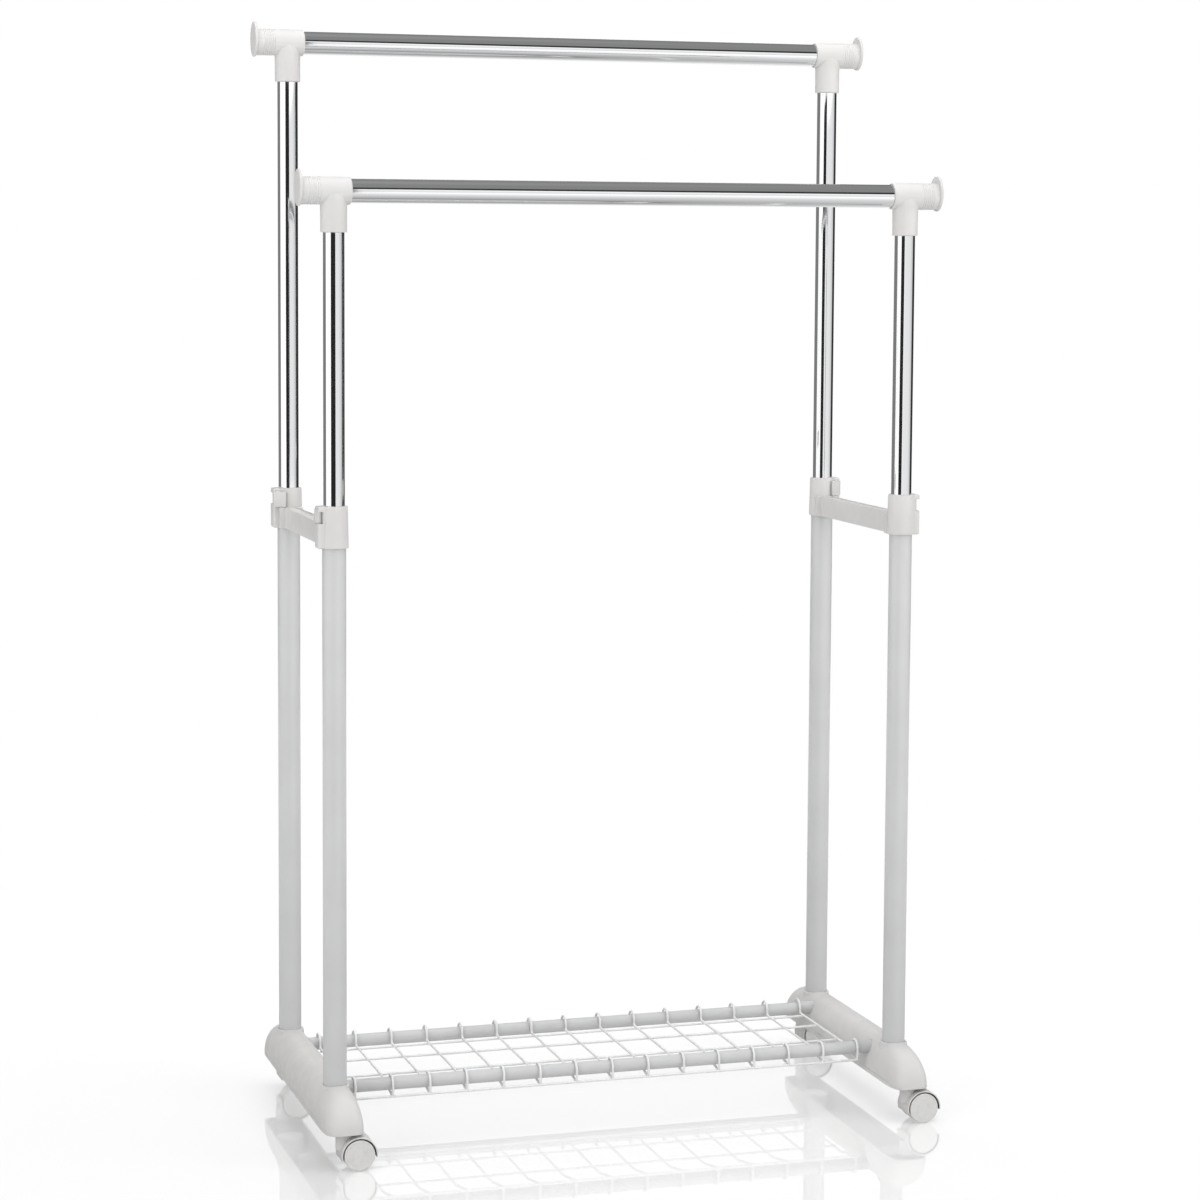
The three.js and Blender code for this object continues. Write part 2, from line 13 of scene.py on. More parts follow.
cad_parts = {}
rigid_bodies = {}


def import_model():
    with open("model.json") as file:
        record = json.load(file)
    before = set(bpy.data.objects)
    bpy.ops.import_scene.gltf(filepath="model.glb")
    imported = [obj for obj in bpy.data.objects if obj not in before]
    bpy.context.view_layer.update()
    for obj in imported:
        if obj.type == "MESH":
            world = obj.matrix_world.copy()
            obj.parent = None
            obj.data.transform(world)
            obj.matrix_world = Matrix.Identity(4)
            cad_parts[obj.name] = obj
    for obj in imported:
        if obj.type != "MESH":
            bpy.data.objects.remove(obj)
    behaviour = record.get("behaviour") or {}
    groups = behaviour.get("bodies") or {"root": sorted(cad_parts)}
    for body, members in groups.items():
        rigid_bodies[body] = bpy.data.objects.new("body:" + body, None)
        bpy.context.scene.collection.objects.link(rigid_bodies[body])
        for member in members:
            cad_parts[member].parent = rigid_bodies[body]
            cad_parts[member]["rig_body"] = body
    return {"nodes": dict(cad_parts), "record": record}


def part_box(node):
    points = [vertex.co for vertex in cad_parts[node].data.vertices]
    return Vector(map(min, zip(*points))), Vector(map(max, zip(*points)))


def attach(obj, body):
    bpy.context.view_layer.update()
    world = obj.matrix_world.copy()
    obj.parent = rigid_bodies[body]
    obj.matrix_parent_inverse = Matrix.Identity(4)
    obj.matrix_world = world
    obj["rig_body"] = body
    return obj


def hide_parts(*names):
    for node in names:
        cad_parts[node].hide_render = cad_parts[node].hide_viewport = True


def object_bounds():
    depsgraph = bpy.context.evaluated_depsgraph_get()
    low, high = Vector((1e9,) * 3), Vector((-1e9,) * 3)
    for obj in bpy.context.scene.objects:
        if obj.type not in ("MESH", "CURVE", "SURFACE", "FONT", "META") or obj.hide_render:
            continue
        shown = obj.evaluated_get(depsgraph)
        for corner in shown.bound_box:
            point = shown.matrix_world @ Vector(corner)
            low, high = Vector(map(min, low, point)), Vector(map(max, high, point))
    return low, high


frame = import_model()
BOUNDS_AT_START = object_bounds()

MM = 0.001  # a millimetre in the frame's metres
SIDES = 72  # round sections that fill part of the picture
SMALL_SIDES = 32  # pins, bores and other small round shapes
OVERSHOOT = 2  # how far a cutting shape runs past the face that it opens
HANDS = {"left": math.pi, "right": 0}  # how far each hand's pieces are turned about Z
SIDES_IN_Y = ("front", "back")
TRAIL = 16.0  # from a caster's stem to its axle
AXLE_Z = 18.5  # also the wheels' radius
HOOD_RIM = 20.0  # the hood's inner radius round the axle
SLOT_OF = {part["node"]: part["material_slot"] for part in frame["record"]["subparts"]}


# ---- mesh helpers -----------------------------------------------------------------------------------------
def as_object(name, bm, smooth_angle=35):
    """Turns a bmesh in millimetres into an object in metres, shaded smooth up to an angle in degrees."""
    bmesh.ops.remove_doubles(bm, verts=bm.verts, dist=1e-4)
    bmesh.ops.recalc_face_normals(bm, faces=bm.faces)
    mesh = bpy.data.meshes.new(name)
    bm.to_mesh(mesh)
    bm.free()
    mesh.transform(Matrix.Scale(MM, 4))
    obj = bpy.data.objects.new(name, mesh)
    bpy.context.scene.collection.objects.link(obj)
    shade(obj, smooth_angle)
    return obj


def shade(obj, angle=35):
    obj.data.shade_smooth()
    obj.data.set_sharp_from_angle(angle=math.radians(angle))


def axis_turn(axis):
    """The turn that carries +Z to the named axis."""
    return {
        "x": Matrix.Rotation(math.pi / 2, 4, "Y"),
        "y": Matrix.Rotation(-math.pi / 2, 4, "X"),
        "z": Matrix.Identity(4),
    }[axis]


def lathe(name, profile, axis="z", sides=SIDES):
    """Spins (radius, height) points round an axis. A profile with both ends off the axis closes on itself."""
    bm = bmesh.new()
    turn = axis_turn(axis)
    rings = []
    for radius, height in profile:
        count = sides if radius > 1e-6 else 1
        ring = []
        for step in range(count):
            angle = 2 * math.pi * step / sides
            place = Vector((radius * math.cos(angle), radius * math.sin(angle), height))
            ring.append(bm.verts.new(turn @ place))
        rings.append(ring)
    pairs = list(zip(rings, rings[1:]))
    if len(rings[0]) > 1 and len(rings[-1]) > 1:
        pairs.append((rings[-1], rings[0]))
    for lower, upper in pairs:
        for step in range(sides):
            after = (step + 1) % sides
            if len(lower) == 1 and len(upper) == 1:
                continue
            if len(lower) == 1:
                bm.faces.new((lower[0], upper[after], upper[step]))
            elif len(upper) == 1:
                bm.faces.new((lower[step], lower[after], upper[0]))
            else:
                bm.faces.new((lower[step], lower[after], upper[after], upper[step]))
    return as_object(name, bm)


def rod(name, radius, low, high, axis="z", sides=SMALL_SIDES):
    return lathe(name, [(0, low), (radius, low), (radius, high), (0, high)], axis, sides)


def prism(name, outline, low, high, axis="z"):
    """An outline carried along an axis: (x, y) points for z, (x, z) points for y."""
    bm = bmesh.new()
    ends = []
    for height in (low, high):
        if axis == "z":
            ends.append([bm.verts.new((x, y, height)) for x, y in outline])
        else:
            ends.append([bm.verts.new((x, height, z)) for x, z in outline])
    bm.faces.new(ends[0])
    bm.faces.new(ends[1])
    for step in range(len(outline)):
        after = (step + 1) % len(outline)
        bm.faces.new((ends[0][step], ends[0][after], ends[1][after], ends[1][step]))
    return as_object(name, bm)


def box_outline(x0, x1, y0, y1):
    return [(x0, y0), (x1, y0), (x1, y1), (x0, y1)]


def move(obj, x=0.0, y=0.0, z=0.0):
    """Moves a shape inside its own piece, in millimetres."""
    obj.data.transform(Matrix.Translation(Vector((x, y, z)) * MM))
    return obj


def bake(obj):
    """Applies an object's modifiers to its mesh."""
    seen = obj.evaluated_get(bpy.context.evaluated_depsgraph_get())
    mesh = bpy.data.meshes.new_from_object(seen)
    obj.modifiers.clear()
    obj.data = mesh
    return obj


def soften(obj, width, segments=3, angle=40):
    """Rounds every edge sharper than an angle, in degrees, by a width in millimetres."""
    bevel = obj.modifiers.new("rounded edges", "BEVEL")
    bevel.width = width * MM
    bevel.segments = segments
    bevel.limit_method = "ANGLE"
    bevel.angle_limit = math.radians(angle)
    bake(obj)
    shade(obj)
    return obj


def combine(target, others, operation):
    """Joins shapes to target (UNION) or cuts them out of it (DIFFERENCE)."""
    for other in others:
        boolean = target.modifiers.new(operation.lower(), "BOOLEAN")
        boolean.object = other
        boolean.operation = operation
        boolean.solver = "MANIFOLD"
        bake(target)
        bpy.data.objects.remove(other)
    shade(target)
    return target


def join(target, *others):
    return combine(target, others, "UNION")


def cut(target, *others):
    return combine(target, others, "DIFFERENCE")


def arc(centre_a, centre_b, radius, start, end, steps=6):
    """Points on an arc round (centre_a, centre_b), from one angle to another in degrees."""
    points = []
    for step in range(steps + 1):
        angle = math.radians(start + (end - start) * step / steps)
        points.append((centre_a + radius * math.cos(angle), centre_b + radius * math.sin(angle)))
    return points


# ---- placing ----------------------------------------------------------------------------------------------
def middle(node):
    low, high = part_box(node)
    return (low + high) / 2


def size(node):
    low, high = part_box(node)
    return (high - low) / MM


def stand_in(obj, node, place=(0, 0, 0), turn=0.0):
    """Puts obj where its CAD node is, on the same body, with that node's finish."""
    obj.matrix_world = Matrix.Translation(Vector(place)) @ Matrix.Rotation(turn, 4, "Z")
    obj.name = node + "_look"
    obj.data.materials.clear()
    obj.data.materials.append(FINISHES[SLOT_OF[node]])
    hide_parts(node)
    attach(obj, frame["nodes"][node]["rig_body"])
    return obj


def another(obj):
    """A second object that shares the first one's mesh."""
    twin = bpy.data.objects.new(obj.name, obj.data)
    bpy.context.scene.collection.objects.link(twin)
    return twin


def refined(node, width, angle=40):
    """A copy of a CAD node's own shape with welded corners and rounded edges."""
    bm = bmesh.new()
    bm.from_mesh(frame["nodes"][node].data)
    bmesh.ops.scale(bm, vec=Vector((1, 1, 1)) / MM, verts=bm.verts)
    bmesh.ops.remove_doubles(bm, verts=bm.verts, dist=1e-3)
    bmesh.ops.dissolve_limit(bm, angle_limit=math.radians(1), verts=bm.verts, edges=bm.edges)
    return stand_in(soften(as_object(node, bm), width, angle=angle), node)


# ---- finishes ---------------------------------------------------------------------------------------------
class Finish:
    """A procedural material, built node by node around one Principled surface."""

    def __init__(self, name, colour, roughness, **more):
        self.material = bpy.data.materials.new(name)
        self.material.use_nodes = True
        self.tree = self.material.node_tree
        self.surface = self.tree.nodes["Principled BSDF"]
        self.surface.inputs["Base Color"].default_value = (*colour, 1)
        self.surface.inputs["Roughness"].default_value = roughness
        for socket, value in more.items():
            self.surface.inputs[socket.replace("_", " ")].default_value = value
        self.place = self.tree.nodes.new("ShaderNodeTexCoord").outputs["Object"]
        self.bumps = None

    def stretched(self, scale):
        mapping = self.tree.nodes.new("ShaderNodeMapping")
        mapping.inputs["Scale"].default_value = scale
        self.tree.links.new(self.place, mapping.inputs["Vector"])
        return mapping.outputs["Vector"]

    def noise(self, scale, detail=3.0, stretch=(1, 1, 1)):
        noise = self.tree.nodes.new("ShaderNodeTexNoise")
        noise.inputs["Scale"].default_value = scale
        noise.inputs["Detail"].default_value = detail
        self.tree.links.new(self.stretched(stretch), noise.inputs["Vector"])
        return noise.outputs["Fac"]

    def span(self, value, low, high, start=0.35, end=0.65):
        """Spreads the values between start and end over low to high."""
        spread = self.tree.nodes.new("ShaderNodeMapRange")
        spread.inputs["From Min"].default_value = start
        spread.inputs["From Max"].default_value = end
        spread.inputs["To Min"].default_value = low
        spread.inputs["To Max"].default_value = high
        self.tree.links.new(value, spread.inputs["Value"])
        return spread.outputs["Result"]

    def vary_roughness(self, value, low, high):
        self.tree.links.new(self.span(value, low, high), self.surface.inputs["Roughness"])

    def vary_colour(self, value, first, second, start=0.35, end=0.65):
        blend = self.tree.nodes.new("ShaderNodeMix")
        blend.data_type = "RGBA"
        blend.inputs["A"].default_value = (*first, 1)
        blend.inputs["B"].default_value = (*second, 1)
        self.tree.links.new(self.span(value, 0, 1, start, end), blend.inputs["Factor"])
        self.tree.links.new(blend.outputs["Result"], self.surface.inputs["Base Color"])

    def darken_round(self, centre, radius, colour):
        """Gives a colour to all that is nearer than radius, in millimetres, to a line along Y."""
        offset = self.tree.nodes.new("ShaderNodeVectorMath")
        offset.operation = "SUBTRACT"
        offset.inputs[1].default_value = Vector(centre) * MM
        self.tree.links.new(self.place, offset.inputs[0])
        flat = self.tree.nodes.new("ShaderNodeVectorMath")
        flat.operation = "MULTIPLY"
        flat.inputs[1].default_value = (1, 0, 1)
        self.tree.links.new(offset.outputs["Vector"], flat.inputs[0])
        distance = self.tree.nodes.new("ShaderNodeVectorMath")
        distance.operation = "LENGTH"
        self.tree.links.new(flat.outputs["Vector"], distance.inputs[0])
        base = self.surface.inputs["Base Color"]
        blend = self.tree.nodes.new("ShaderNodeMix")
        blend.data_type = "RGBA"
        blend.inputs["A"].default_value = (*colour, 1)
        self.tree.links.new(base.links[0].from_socket, blend.inputs["B"])
        edge = 0.05  # half the width of the change, in millimetres
        outside = self.span(distance.outputs["Value"], 0, 1, (radius - edge) * MM, (radius + edge) * MM)
        self.tree.links.new(outside, blend.inputs["Factor"])
        self.tree.links.new(blend.outputs["Result"], base)

    def bump(self, value, strength, depth):
        """Adds relief; depth is in millimetres."""
        bump = self.tree.nodes.new("ShaderNodeBump")
        bump.inputs["Strength"].default_value = strength
        bump.inputs["Distance"].default_value = depth * MM
        self.tree.links.new(value, bump.inputs["Height"])
        if self.bumps:
            self.tree.links.new(self.bumps, bump.inputs["Normal"])
        self.bumps = bump.outputs["Normal"]
        self.tree.links.new(self.bumps, self.surface.inputs["Normal"])


def chrome():
    finish = Finish("chrome plate", (0.93, 0.935, 0.945), 0.05, Metallic=1.0)
    finish.vary_roughness(finish.noise(38, 5), 0.035, 0.085)
    finish.bump(finish.noise(9, 1), 0.12, 0.12)
    finish.bump(finish.noise(2400, 2), 0.04, 0.02)
    return finish.material


def white_paint():
    finish = Finish("powder coat", (0.53, 0.532, 0.535), 0.3, Coat_Weight=0.3, Coat_Roughness=0.16)
    finish.vary_colour(finish.noise(14, 4), (0.52, 0.522, 0.525), (0.545, 0.547, 0.55))
    finish.vary_roughness(finish.noise(60, 3), 0.28, 0.4)
    finish.bump(finish.noise(780, 2), 0.16, 0.06)
    return finish.material


def plastic(name, light, dark, grain, roughness):
    """Injection-moulded plastic: fine spark texture, slow flow marks and a little handling dust."""
    finish = Finish(name, light, roughness)
    finish.vary_colour(finish.noise(22, 5), light, dark)
    finish.vary_roughness(finish.noise(90, 4), roughness - 0.06, roughness + 0.08)
    finish.bump(finish.noise(26, 2, (1, 1, 0.35)), 0.08, 0.25)
    finish.bump(finish.noise(grain, 3), 0.22, 0.05)
    return finish


def moulded_plastic():
    return plastic("moulded plastic", (0.60, 0.594, 0.585), (0.57, 0.562, 0.551), 1700, 0.42).material


def caster_plastic():
    """The hood's plastic, with painted shade: near black inside the rim's inner radius round the axle."""
    finish = plastic("caster plastic", (0.61, 0.603, 0.592), (0.58, 0.572, 0.56), 1500, 0.4)
    # painted shade: all of the hood nearer the axle than the rim's inner wall is near black, for the deep
    # gaps round the wheels
    finish.darken_round((TRAIL, 0, AXLE_Z), HOOD_RIM + 0.15, (0.03, 0.03, 0.03))
    return finish.material


def wheel_plastic():
    """Harder plastic with scuffs that run round the tread."""
    finish = Finish("wheel plastic", (0.655, 0.65, 0.64), 0.36)
    finish.vary_colour(finish.noise(160, 6), (0.655, 0.65, 0.64), (0.585, 0.578, 0.566), 0.45, 0.8)
    finish.vary_roughness(finish.noise(120, 5), 0.3, 0.48)
    finish.bump(finish.noise(1900, 2), 0.15, 0.03)
    finish.bump(finish.noise(300, 3, (1, 6, 1)), 0.08, 0.04)
    return finish.material


def wire_coating():
    finish = Finish("dipped coat", (0.76, 0.76, 0.76), 0.3, Coat_Weight=0.4, Coat_Roughness=0.12)
    finish.vary_colour(finish.noise(45, 3), (0.76, 0.76, 0.76), (0.72, 0.72, 0.725))
    finish.vary_roughness(finish.noise(210, 3), 0.24, 0.38)
    finish.bump(finish.noise(240, 2), 0.2, 0.1)
    return finish.material


def steel():
    finish = Finish("zinc plate", (0.62, 0.63, 0.64), 0.32, Metallic=1.0)
    finish.vary_roughness(finish.noise(420, 5), 0.25, 0.45)
    finish.bump(finish.noise(1400, 4), 0.12, 0.03)
    return finish.material


FINISHES = {
    "chrome": chrome(),
    "white_paint": white_paint(),
    "moulded_plastic": moulded_plastic(),
    "caster_plastic": caster_plastic(),
    "wheel_plastic": wheel_plastic(),
    "wire_coating": wire_coating(),
    "steel": steel(),
}


# ---- tubes ------------------------------------------------------------------------------------------------
def tube(node, axis, wall=1.0, lip=0.35):
    """A tube as long and as thick as its CAD node, with deburred ends."""
    spans = size(node)
    length = spans["xyz".index(axis)]
    radius = min(spans) / 2
    half = length / 2
    inner = radius - wall
    profile = [
        (inner, lip - half),
        (inner + lip, -half),
        (radius - lip, -half),
        (radius - 0.1 * lip, -half + 0.4 * lip),
        (radius, lip - half),
        (radius, half - lip),
        (radius - 0.1 * lip, half - 0.4 * lip),
        (radius - lip, half),
        (inner + lip, half),
        (inner, half - lip),
    ]
    return stand_in(lathe(node, profile, axis), node, middle(node))


def add_tubes():
    for side in SIDES_IN_Y:
        tube(f"{side}_rail", "x")
        tube(f"{side}_shelf_tube", "x")
        for hand in HANDS:
            tube(f"{side}_{hand}_chrome_upright", "z")
            tube(f"{side}_{hand}_lower_tube", "z")
            refined(f"{side}_{hand}_guide_plug", 0.3)


# ---- tees -------------------------------------------------------------------------------------------------
# Distances along the rail are from the stem's axis, and heights are from the rail's axis.
BARREL = 16.2  # radius
BARREL_END = 42.0  # inside the stop disc
BARREL_LIP = 1.7  # rounding of the open end
RAIL_BORE = 14.3  # radius, and the lower tubes' too
RAIL_BORE_END = 34.6
TUBE_BORE = 12.8  # radius
TUBE_BORE_END = -17
MOUTH = -19.5  # the barrel's open end
STOP = (40.0, 43.0)  # inner and outer face of the stop disc
STOP_HALF_WIDTH = 19.0
STOP_HALF_HEIGHT = 21.7
STOP_LIFT = 3.4
STOP_EDGE = 1.3  # rounding
STOP_FACE_INSET = 5  # from the rim to the ring that keeps the face flat
STOP_BACK_STEP = 0.8  # how much smaller the disc is on its inner face
GROOVES = 6
GROOVE_START = 18.6
GROOVE_PITCH = 2.6
GROOVE_HALF_WIDTH = 0.75
GROOVE_FLOOR = 0.35  # half the width of a groove's flat floor
GROOVE_DEPTH = 0.4
STEM_RADIUS = 15.5
STEM_LIP = 0.9
STEM_DROP = -48.0
STEM_FLARE = [(15.62, -22), (15.75, -16), (16.1, -12), (16.6, -8.5), (15.9, -4), (15.8, 0)]  # radius, height


def barrel_profile():
    profile = [(0, BARREL_END), (BARREL, BARREL_END)]
    for index in reversed(range(GROOVES)):
        groove = GROOVE_START + index * GROOVE_PITCH
        profile += [
            (BARREL, groove + GROOVE_HALF_WIDTH),
            (BARREL - GROOVE_DEPTH, groove + GROOVE_FLOOR),
            (BARREL - GROOVE_DEPTH, groove - GROOVE_FLOOR),
            (BARREL, groove - GROOVE_HALF_WIDTH),
        ]
    profile += arc(BARREL - BARREL_LIP, MOUTH + BARREL_LIP, BARREL_LIP, 0, -90, 8)
    return profile + [(0, MOUTH)]


def stop_disc():
    """A thin disc, taller than it is wide, that stands higher than the barrel."""
    profile = [(0, STOP[1]), (STOP_HALF_HEIGHT - STOP_FACE_INSET, STOP[1])]
    profile += arc(STOP_HALF_HEIGHT - STOP_EDGE, STOP[1] - STOP_EDGE, STOP_EDGE, 90, -20, 8)
    profile += [(STOP_HALF_HEIGHT - STOP_BACK_STEP, STOP[0]), (0, STOP[0])]
    disc = lathe("stop disc", profile, "x")
    disc.data.transform(Matrix.Diagonal((1, STOP_HALF_WIDTH / STOP_HALF_HEIGHT, 1, 1)))
    return move(disc, z=STOP_LIFT)


def stem():
    """The tee's lower socket, flared into the barrel."""
    profile = [(0, STEM_DROP)]
    profile += arc(STEM_RADIUS - STEM_LIP, STEM_DROP + STEM_LIP, STEM_LIP, -90, 0, 5)
    return lathe("stem", profile + STEM_FLARE + [(0, 0)])


def tee_shape():
    body = join(lathe("tee", barrel_profile(), "x"), stop_disc(), stem())
    rail_bore = rod("bore", RAIL_BORE, MOUTH - OVERSHOOT, RAIL_BORE_END, "x", SIDES)
    tube_bore = rod("bore", TUBE_BORE, STEM_DROP - OVERSHOOT, TUBE_BORE_END, "z", SIDES)
    return cut(body, rail_bore, tube_bore)


def add_tees():
    tee = None
    for side in SIDES_IN_Y:
        for hand, turn in HANDS.items():
            tee = another(tee) if tee else tee_shape()
            upright = middle(f"{side}_{hand}_chrome_upright")
            rail = middle(f"{side}_rail")
            stand_in(tee, f"{side}_{hand}_tee", (upright.x, upright.y, rail.z), turn)


# ---- collars, levers and crossbars ------------------------------------------------------------------------
# Heights are from the floor, and X is outwards from the tube's axis.
SLEEVE_BOTTOM = 17  # radius
SLEEVE_TOP = 16  # radius
SLEEVE_EDGE = 1.1
LUG = (9, 21, -10.5, 10.5)  # from and to in X, then in Y
LUG_CORNER = 2.2
SLOT = (15, 25, -12, 12)  # runs out of the lug on three sides
SLOT_EDGE = 0.5
CAM_WINDOW = (0, 16, -4.2, 4.2)  # lets the lever's nose reach the chrome tube
OPENING = (756.8, 771)  # bottom and top of the slot and of the window
CHROME_BORE = 12.9
LOWER_TUBE_STOP = 751.3  # where the bore for the lower tube ends
PIN_X = 17
PIN_BORE = 1.3
PIN_BOTTOM = 748.7


def collar_shape(node):
    """A tapered sleeve with a slotted lug on its outer side."""
    low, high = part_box(node)
    bottom, top = low.z / MM, high.z / MM
    profile = [(0, bottom)]
    profile += arc(SLEEVE_BOTTOM - SLEEVE_EDGE, bottom + SLEEVE_EDGE, SLEEVE_EDGE, -90, 0, 5)
    profile += arc(SLEEVE_TOP - SLEEVE_EDGE, top - SLEEVE_EDGE, SLEEVE_EDGE, 0, 90, 5)
    profile += [(0, top)]
    lug = soften(prism("lug", box_outline(*LUG), bottom, top), LUG_CORNER, 5)
    slot = soften(prism("slot", box_outline(*SLOT), *OPENING), SLOT_EDGE, 2)
    cam_window = prism("window", box_outline(*CAM_WINDOW), *OPENING)
    above = top + OVERSHOOT
    chrome_bore = rod("bore", CHROME_BORE, bottom - OVERSHOOT, above, "z", SIDES)
    lower_bore = rod("bore", RAIL_BORE, bottom - OVERSHOOT, LOWER_TUBE_STOP, "z", SIDES)
    pin_bore = move(rod("bore", PIN_BORE, PIN_BOTTOM, above), x=PIN_X)
    body = join(lathe("collar", profile), lug)
    return cut(body, slot, cam_window, chrome_bore, lower_bore, pin_bore)


def add_clamps():
    collar = None
    for side in SIDES_IN_Y:
        for hand, turn in HANDS.items():
            corner = f"{side}_{hand}"
            upright = middle(f"{corner}_lower_tube")
            collar = another(collar) if collar else collar_shape(f"{corner}_collar")
            stand_in(collar, f"{corner}_collar", (upright.x, upright.y, 0), turn)
            refined(f"{corner}_lock_lever", 0.55)
            refined(f"{corner}_lever_pin", 0.25, 60)
    for hand in HANDS:
        refined(f"{hand}_crossbar", 0.7, 50)


# ---- feet -------------------------------------------------------------------------------------------------
# Heights are from the floor. The powers shape superellipses: 2 is round, and more is squarer.
DOME_POWER = 2.5  # the cross-section
NOSE_POWER = 2.3  # the ends, seen from the side
PLAN_POWER = 5.0  # the ends, seen from above
NOSE_START = 140.0  # where the ends begin to fall, from the foot's middle
PLAN_START = 140.0  # where they begin to narrow
FOOT_WALL = 2.6
SKIRT_LINE = (4.6, 5.0, 5.8, 6.2)  # the moulded line's four edges, above the foot's lower edge
SKIRT_LINE_DEPTH = 0.55
DOME_STEPS = 22
MIDDLE_STEPS = 16
NOSE_STEPS = 32
SOCKET_Y = 134.0
SOCKET_RADIUS = 17.5
SOCKET_BOTTOM = 50.4
SOCKET_FLOOR = 53  # where the lower tube's bore ends
COLLAR_RING = [(0, 72), (19.2, 72), (20.2, 74.5), (18.6, 77.5), (17.6, 81.5), (17.2, 84.5)]  # radius, height
COLLAR_RING_TOP = 88.9
COLLAR_RING_LIP = 1.7
COLLAR_RING_LIP_RADIUS = 15.3  # the rounding's centre, from the tube's axis
COLLAR_RING_LIP_Z = 87.2
SHELF_TUBE_Y = 101.5
SHELF_TUBE_Z = 75
SHELF_SOCKET = (10.6, 3.4)  # radius, and where it begins in X
SHELF_BORE = (8.3, 5.7)
CASTER_Y = 181.0
PEG = (8, 47)  # radius and bottom
PEG_BORE = (4.3, 40, 66)  # radius, bottom and top
POST_TOP = 100  # above the shell, which cuts the posts off


def fallen(reach, start, end, power):
    """1 up to start, then a superellipse's fall to 0 at end."""
    along = min(max((reach - start) / (end - start), 0), 1)
    return max(1 - along**power, 0) ** (1 / power)


def foot_form(name, half_length, half_width, rise, skirt, below=0.0, line_depth=0.0):
    """A domed section along Y that closes round both noses. Its sides reach past the skirt by below."""
    bm = bmesh.new()
    heights = [0] + [height / rise for height in SKIRT_LINE]
    angles = [math.asin(height ** (DOME_POWER / 2)) for height in heights]
    angles += [math.radians(5 + 85 * (step / DOME_STEPS)) for step in range(1, DOME_STEPS + 1)]
    line_angles = angles[2:4]
    stations = [NOSE_START * step / MIDDLE_STEPS for step in range(MIDDLE_STEPS)]
    for step in range(NOSE_STEPS + 1):
        share = 1 - math.sin(step / NOSE_STEPS * math.pi / 2)
        stations.append(half_length - (half_length - NOSE_START) * share)
    stations = sorted({-y for y in stations} | set(stations))
    rows = []
    for y in stations:
        wide = half_width * fallen(abs(y), PLAN_START, half_length, PLAN_POWER)
        tall = rise * fallen(abs(y), NOSE_START, half_length, NOSE_POWER)
        side_points = []
        for angle in angles:
            inset = line_depth if angle in line_angles else 0
            x = max(wide * max(math.cos(angle), 0) ** (2 / DOME_POWER) - inset, 0)
            side_points.append((x, tall * math.sin(angle) ** (2 / DOME_POWER)))
        if below:
            side_points.insert(0, (wide, -below))
        other_side = [(-x, z) for x, z in reversed(side_points)]
        rows.append([bm.verts.new((x, y, skirt + z)) for x, z in side_points + other_side])
    for first, second in zip(rows, rows[1:]):
        count = len(first)
        for step in range(count):
            after = (step + 1) % count
            bm.faces.new((first[step], first[after], second[after], second[step]))
    for row in (rows[0], rows[-1]):
        bm.faces.new(row)
    return as_object(name, bm, 30)


def foot_shape(node):
    """A hollow shell, open below, with sockets for its tubes and posts for its casters inside."""
    low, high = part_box(node)
    skirt = low.z / MM
    rise = (high.z - low.z) / MM
    half_length = (high.y - low.y) / MM / 2
    half_width = (high.x - low.x) / MM / 2
    inner_sizes = (half_length - FOOT_WALL, half_width - FOOT_WALL, rise - FOOT_WALL)
    foot = foot_form("foot", half_length, half_width, rise, skirt, line_depth=SKIRT_LINE_DEPTH)
    hollow = foot_form("hollow", *inner_sizes, skirt, below=OVERSHOOT)
    above = skirt + rise + OVERSHOOT
    beside = half_width + OVERSHOOT
    ring_profile = COLLAR_RING + arc(COLLAR_RING_LIP_RADIUS, COLLAR_RING_LIP_Z, COLLAR_RING_LIP, 0, 90, 6)
    ring_profile += [(0, COLLAR_RING_TOP)]
    posts = []
    rings = []
    bores = []
    for end in (-1, 1):
        socket_y = end * SOCKET_Y
        shelf_y = end * SHELF_TUBE_Y
        posts.append(move(rod("post", SOCKET_RADIUS, SOCKET_BOTTOM, POST_TOP, "z", SIDES), y=socket_y))
        rings.append(move(lathe("ring", ring_profile), y=socket_y))
        bores.append(move(rod("bore", RAIL_BORE, SOCKET_FLOOR, above, "z", SIDES), y=socket_y))
        posts.append(move(rod("post", *SHELF_SOCKET, beside, "x"), y=shelf_y, z=SHELF_TUBE_Z))
        bores.append(move(rod("bore", *SHELF_BORE, beside, "x"), y=shelf_y, z=SHELF_TUBE_Z))
        posts.append(move(rod("peg", *PEG, POST_TOP), y=end * CASTER_Y))
        bores.append(move(rod("bore", *PEG_BORE), y=end * CASTER_Y))
    cut(hollow, *posts)
    cut(foot, hollow)
    join(foot, *rings)
    return cut(foot, *bores)


def add_feet():
    foot = None
    for hand, turn in HANDS.items():
        node = f"{hand}_foot"
        foot = another(foot) if foot else foot_shape(node)
        place = middle(node)
        stand_in(foot, node, (place.x, place.y, 0), math.pi - turn)  # the sockets face inwards


# ---- casters ----------------------------------------------------------------------------------------------
# Heights are from the floor, and X is from the stem's axis towards the axle.
HOOD_RADIUS = 21.8
HOOD_FROM = -8.0  # degrees round the axle
HOOD_TO = 197.0
HOOD_STEPS = 48
HOOD_HALF_WIDTH = 17.0
HOOD_EDGE = 0.7
WEB_HALF_WIDTH = 2.3  # the plate between the wheels
WEB_INNER = 4.0  # radius
SINK_IN = 0.4  # how far shapes that are joined reach into each other
HUB_RADIUS = 5
HUB_HALF_WIDTH = WEB_HALF_WIDTH + 0.25
NECK_RADIUS = 9.5
NECK_HEIGHTS = (24, 41.5)
NECK_EDGE = 1
STEM_BORE = (4.3, 30.2, 43)  # radius, bottom and top
AXLE_BORE = (2.3, -5, 5)  # radius and both ends
WHEEL_INNER = WEB_HALF_WIDTH + 0.6  # both faces are measured from the caster's middle
WHEEL_FACE = 16.6
WHEEL_BORE = (2.3, 13.5)  # radius and depth
